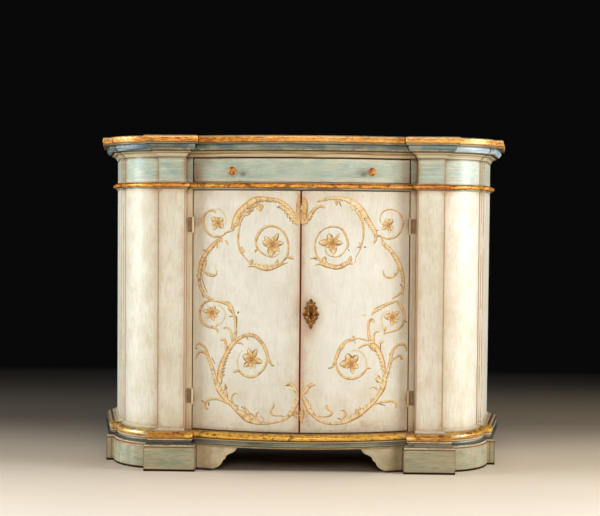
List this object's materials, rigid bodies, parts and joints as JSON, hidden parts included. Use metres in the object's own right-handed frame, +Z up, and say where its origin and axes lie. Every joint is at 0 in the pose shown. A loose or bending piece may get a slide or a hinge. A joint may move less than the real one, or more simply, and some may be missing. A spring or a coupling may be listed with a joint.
{
  "type": "credenza",
  "caption": "Bow-fronted painted credenza with a full-width drawer over two bowed doors, projecting pilasters, convex corners, gilt mouldings and a bracket plinth.",
  "frame": {"origin": "centre of the footprint at floor level", "axes": "+X along the width, to the right of a viewer facing the doors; the front faces -Y; +Z up"},
  "size_m": [1.382, 0.474, 1.045],
  "materials": {
    "cream_paint": "antiqued cream lacquer over wood",
    "sage_paint": "worn sage green paint over wood",
    "gilt_moulding": "burnished gilding over red-brown ground",
    "cornice_paint": "stepped moulding in grey, dark green and tan paint",
    "plain_wood": "unpainted softwood",
    "back_wood": "unpainted aged boards",
    "brass": "dull aged brass",
    "iron": "dull dark iron"
  },
  "bodies": {
    "carcass": {"top_board": "gilt_moulding", "carcass_top": "plain_wood", "cornice_centre": "cornice_paint", "cornice_left": "cornice_paint", "cornice_right": "cornice_paint", "waist_moulding_centre": "gilt_moulding", "waist_moulding_left": "gilt_moulding", "waist_moulding_right": "gilt_moulding", "base_moulding_centre": "gilt_moulding", "base_moulding_left": "gilt_moulding", "base_moulding_right": "gilt_moulding", "bottom_rail": "cream_paint", "mid_rail": "sage_paint", "top_rail": "sage_paint", "back_boards": "back_wood", "bottom_board": "plain_wood", "dust_board": "plain_wood", "shelf": "plain_wood", "shelf_supports": "plain_wood", "drawer_runners": "plain_wood", "drawer_kickers": "plain_wood", "base_frame": "sage_paint", "foot_blocks": "plain_wood", "hinge_frame_leaves": "brass", "hinge_pins": "brass", "hinge_screws": "brass", "front_post_left": "cream_paint", "pilaster_left": "cream_paint", "corner_panel_left": "cream_paint", "side_panel_left": "cream_paint", "plinth_block_left": "sage_paint", "plinth_corner_left": "sage_paint", "plinth_side_left": "sage_paint", "bracket_left": "sage_paint", "front_post_right": "cream_paint", "pilaster_right": "cream_paint", "corner_panel_right": "cream_paint", "side_panel_right": "cream_paint", "plinth_block_right": "sage_paint", "plinth_corner_right": "sage_paint", "plinth_side_right": "sage_paint", "bracket_right": "sage_paint"},
    "drawer": {"drawer_front": "sage_paint", "drawer_side_left": "plain_wood", "drawer_side_right": "plain_wood", "drawer_back": "plain_wood", "drawer_bottom": "plain_wood", "drawer_knob_left": "brass", "drawer_knob_right": "brass"},
    "left_door": {"left_door_panel": "cream_paint", "left_hinge_leaves": "brass", "lock_keep": "iron", "bolt_staples": "iron"},
    "right_door": {"right_door_panel": "cream_paint", "right_hinge_leaves": "brass", "lock_case": "iron", "escutcheon": "brass", "escutcheon_pins": "brass"},
    "lock_bolt": {"lock_bolt": "iron"},
    "tower_bolt": {"left_door_bolt": "iron"}
  },
  "joints": [
    {"name": "drawer_slide", "type": "slide", "parent": "carcass", "child": "drawer", "axis": [0, -1, 0], "range_m": [0, 0.25]},
    {"name": "left_door_hinge", "type": "hinge", "parent": "carcass", "child": "left_door", "pos_m": [-0.341, -0.136, 0.497], "axis": [0, 0, -1], "range_deg": [0, 95]},
    {"name": "right_door_hinge", "type": "hinge", "parent": "carcass", "child": "right_door", "pos_m": [0.341, -0.136, 0.497], "axis": [0, 0, 1], "range_deg": [0, 95]},
    {"name": "lock_bolt_slide", "type": "slide", "parent": "right_door", "child": "lock_bolt", "axis": [-1, 0, 0], "range_m": [0, 0.009]},
    {"name": "tower_bolt_slide", "type": "slide", "parent": "left_door", "child": "tower_bolt", "axis": [0, 0, 1], "range_m": [0, 0.012]}
  ]
}
